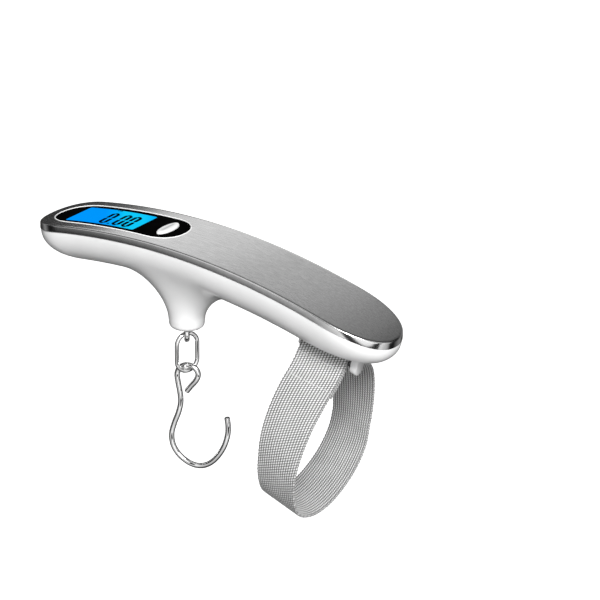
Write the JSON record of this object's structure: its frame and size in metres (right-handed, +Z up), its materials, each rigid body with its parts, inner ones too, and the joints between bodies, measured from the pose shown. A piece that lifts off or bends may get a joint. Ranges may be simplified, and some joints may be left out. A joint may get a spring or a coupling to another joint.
{
  "type": "digital luggage scale",
  "caption": "Hand-held luggage scale with an arched handle, a display and button on top, a load hook on a chain link below and a wrist strap at the plain end.",
  "frame": {"origin": "on the load axis, level with the top of the steel cover", "axes": "+X along the handle towards the plain end with the strap, +Y to the far side, +Z up out of the steel cover"},
  "size_m": [0.1556, 0.0642, 0.0982],
  "materials": {
    "steel_cover": "brushed lengthwise",
    "white_shell": "gloss",
    "white_inner": "matt",
    "black_bezel": "gloss",
    "display_clear": "clear",
    "display_blue": "backlit",
    "light_guide": "clear",
    "button_silver": "satin silver",
    "switch_black": "matt",
    "board_green": "solder mask",
    "chip_black": "moulded",
    "connector_rubber": "matt",
    "cell_steel": "bright",
    "contact_metal": "plated",
    "lead_red": "insulation",
    "lead_black": "insulation",
    "beam_aluminium": "milled",
    "gauge_foil": "film",
    "screw_steel": "zinc plated",
    "chrome_wire": "polished",
    "pin_steel": "dark",
    "webbing_grey": "ribbed weave"
  },
  "bodies": {
    "handle": {"top_cover": "steel_cover", "inner_frame": "white_inner", "lower_shell": "white_shell", "case_screw_1": "screw_steel", "case_screw_2": "screw_steel", "case_screw_3": "screw_steel", "case_screw_4": "screw_steel", "display_bezel": "black_bezel", "display_window": "display_clear", "lcd_panel": "display_blue", "backlight": "light_guide", "lcd_connector_front": "connector_rubber", "lcd_connector_back": "connector_rubber", "tact_switch": "switch_black", "circuit_board": "board_green", "chip_cover": "chip_black", "battery_holder": "white_inner", "coin_cell": "cell_steel", "contact_negative": "contact_metal", "contact_positive": "contact_metal", "gauge_lead_front": "lead_red", "gauge_lead_back": "lead_black", "load_cell": "beam_aluminium", "load_cell_screw_1": "screw_steel", "load_cell_screw_2": "screw_steel", "gauge_top": "gauge_foil", "gauge_bottom": "gauge_foil", "load_washer": "screw_steel", "strap_pin": "pin_steel"},
    "button": {"button_cap": "button_silver"},
    "plunger": {"switch_plunger": "switch_black"},
    "door": {"battery_door": "white_shell"},
    "bolt": {"load_bolt": "chrome_wire", "load_nut": "screw_steel"},
    "link": {"chain_link": "chrome_wire"},
    "hook": {"load_hook": "chrome_wire"},
    "strap": {"strap_loop": "webbing_grey"}
  },
  "joints": [
    {"name": "button_press", "type": "slide", "parent": "handle", "child": "button", "axis": [0, 0, -1], "range_m": [0, 0.0005], "stiffness_N_per_m": 400},
    {"name": "plunger_press", "type": "slide", "parent": "handle", "child": "plunger", "axis": [0, 0, -1], "range_m": [0, 0.0005]},
    {"name": "door_lift", "type": "slide", "parent": "handle", "child": "door", "axis": [0, 0, -1], "range_m": [0, 0.02]},
    {"name": "bolt_swivel", "type": "hinge", "parent": "handle", "child": "bolt", "pos_m": [0, 0, -0.0406], "axis": [0, 0, 1], "continuous": true},
    {"name": "link_swing", "type": "hinge", "parent": "bolt", "child": "link", "pos_m": [0, 0, -0.0407], "axis": [0.454, 0.891, 0], "range_deg": [-60, 60]},
    {"name": "hook_swing", "type": "hinge", "parent": "link", "child": "hook", "pos_m": [0, 0, -0.0563], "axis": [0.454, 0.891, 0], "range_deg": [-45, 45]},
    {"name": "strap_swing", "type": "hinge", "parent": "handle", "child": "strap", "pos_m": [0.062, 0, -0.03432], "axis": [0.9728, 0, -0.2317], "range_deg": [-30, 30]}
  ],
  "couplings": [
    {"joint": "plunger_press", "follows": "button_press", "ratio": 1}
  ]
}
